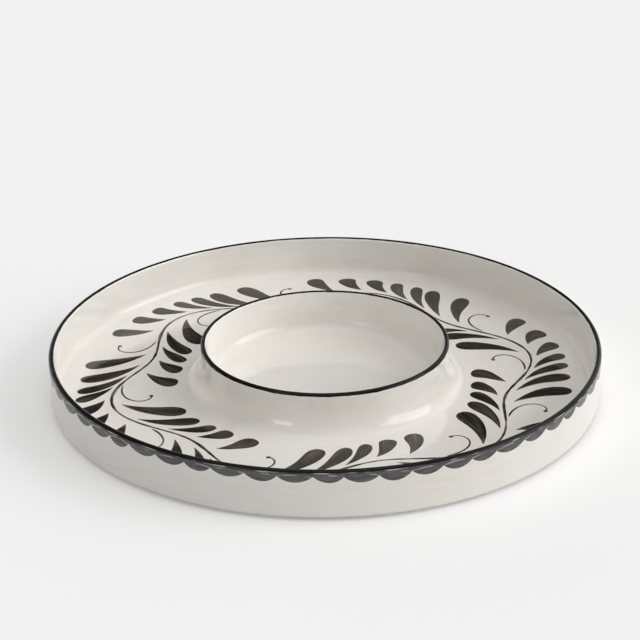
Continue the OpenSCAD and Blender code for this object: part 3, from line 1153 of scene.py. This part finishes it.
def direction(heading, height):
    """Unit vector at a heading from +X and a height above the horizon, in degrees."""
    a, e = math.radians(heading), math.radians(height)
    return Vector((math.cos(a) * math.cos(e), math.sin(a) * math.cos(e), math.sin(e)))


def softbox(f, toward, heading, height, half_width, half_height, radiance, side_soft, level_soft):
    """Light of one far softbox: a soft-edged rectangle round its middle direction.

    toward is the direction looked at. Its tangents to each side of the middle are the dot products
    with the box's own axes, over the dot product with the middle.
    """
    middle = direction(heading, height)
    side = direction(heading + 90, 0)
    up = middle.cross(side)

    def dot(axis):
        settings = {"operation": "DOT_PRODUCT"}
        return f.node("ShaderNodeVectorMath", settings, {0: toward, 1: tuple(axis)}, "Value")

    ahead = dot(middle)
    light = f.ramp(ahead, 0.02, 0.1)
    for axis, half, softness in ((side, half_width, side_soft), (up, half_height, level_soft)):
        edge = math.tan(math.radians(half))
        off = abs(dot(axis) / ahead.maths("MAXIMUM", ahead, 0.01))
        light = light * f.ramp(off, edge * (1 - softness), edge * (1 + softness), 1.0, 0.0)
    return light * radiance


class MakeStudio(bpy.types.Operator):
    """Make the pale floor, the soft light and the camera"""

    bl_idname = "chipdip.studio"
    bl_label = "Studio"

    def execute(self, context):
        scene, studio = context.scene, context.scene.server_studio
        half = studio.floor_size / 2
        mesh = bpy.data.meshes.new("studio_floor")
        corners = [(-half, -half, 0), (half, -half, 0), (half, half, 0), (-half, half, 0)]
        mesh.from_pydata(corners, [], [(0, 1, 2, 3)])
        floor = bpy.data.objects.new("studio_floor", mesh)
        scene.collection.objects.link(floor)
        mesh.materials.append(floor_paper(studio))
        floor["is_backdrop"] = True
        scene.world = bpy.data.worlds.new("studio_light")
        scene.world.use_nodes = True
        f = Finish(scene.world.node_tree)
        toward = f.coordinate("Generated")
        light = studio.ambient
        for box in SOFTBOXES:
            light = softbox(f, toward, *box) + light
        background = f.node("ShaderNodeBackground", None, {"Color": light, "Strength": 1.0})
        f.node("ShaderNodeOutputWorld", None, {"Surface": background})
        add_camera(scene, studio)
        scene.view_settings.view_transform = "Standard"
        return {"FINISHED"}


def floor_paper(studio):
    """Matt pale paper. Its small glow shows to the eye and in the glaze, and lights nothing."""
    material = bpy.data.materials.new("floor_paper")
    material.use_nodes = True
    f = Finish(material.node_tree)
    mottle = f.ramp(f.noise(f.coordinate("Object"), 2.5, 2), 0.3, 0.7)
    pale = studio.floor_colour
    base = f.blend(mottle, pale, [0.985 * c for c in studio.floor_colour])
    paper = f.node("ShaderNodeBsdfDiffuse", None, {"Color": base})
    kinds = ("Is Camera Ray", "Is Glossy Ray")
    seen = [f.node("ShaderNodeLightPath", None, None, kind) for kind in kinds]
    strength = seen[0].maths("MAXIMUM", *seen) * studio.floor_glow
    glow = f.node("ShaderNodeEmission", None, {"Color": pale, "Strength": strength})
    shader = f.node("ShaderNodeAddShader", None, {0: paper, 1: glow})
    f.node("ShaderNodeOutputMaterial", None, {"Surface": shader})
    return material


def add_camera(scene, studio):
    """A camera that looks at its target from its distance, elevation and roll."""
    forward = Vector((0, math.cos(studio.elevation), -math.sin(studio.elevation)))
    level = Vector((1, 0, 0))
    upright = level.cross(forward)
    right = math.cos(studio.roll) * level + math.sin(studio.roll) * upright
    up = math.cos(studio.roll) * upright - math.sin(studio.roll) * level
    camera = bpy.data.objects.new("camera", bpy.data.cameras.new("camera"))
    turn = Matrix((right, up, -forward)).transposed().to_4x4()
    camera.matrix_world = Matrix.Translation(Vector(studio.target) - studio.distance * forward) @ turn
    camera.data.lens = studio.lens
    camera.data.sensor_width = FILM_WIDTH
    camera.data.clip_end = SIGHT
    scene.collection.objects.link(camera)
    scene.camera = camera


# ---------------------------------------------------------------- panel and registration

GROUPS = {
    "server_clay": ClaySizes,
    "server_paint": PaintSizes,
    "server_vine": VineSizes,
    "server_finish": Finishes,
    "server_studio": StudioSettings,
}
OPERATORS = (
    MakeTray,
    MakeFoot,
    MakeBowl,
    MakeRimLines,
    MakeScallops,
    MakeVineStem,
    MakeVineTendrils,
    MakeVineLeaves,
    MakeStudio,
)


class ChipDipPanel(bpy.types.Panel):
    """Sizes, finishes and the buttons that make each group of pieces"""

    bl_idname = "VIEW3D_PT_chip_dip"
    bl_label = "Chip and Dip Server"
    bl_space_type = "VIEW_3D"
    bl_region_type = "UI"
    bl_category = "Chip and Dip"

    def draw(self, context):
        for operator in OPERATORS:
            self.layout.operator(operator.bl_idname)
        for attribute, group in GROUPS.items():
            box = self.layout.box()
            settings = getattr(context.scene, attribute)
            for name in group.__annotations__:
                box.prop(settings, name)


def register():
    """Registers the classes and hangs the settings on the scene."""
    for cls in (*GROUPS.values(), *OPERATORS, ChipDipPanel):
        bpy.utils.register_class(cls)
    for attribute, group in GROUPS.items():
        setattr(bpy.types.Scene, attribute, PointerProperty(type=group))


def unregister():
    """Takes the settings off the scene and unregisters the classes."""
    for attribute in GROUPS:
        delattr(bpy.types.Scene, attribute)
    for cls in reversed((*GROUPS.values(), *OPERATORS, ChipDipPanel)):
        bpy.utils.unregister_class(cls)


def main():
    register()
    for operator in OPERATORS:
        group, name = operator.bl_idname.split(".")
        getattr(getattr(bpy.ops, group), name)()
    boxes = {"cad": CAD_BOX, "visual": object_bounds()}
    {k: [list(map(float, corner)) for corner in box] for k, box in boxes.items()}


if __name__ == "__main__":
    main()
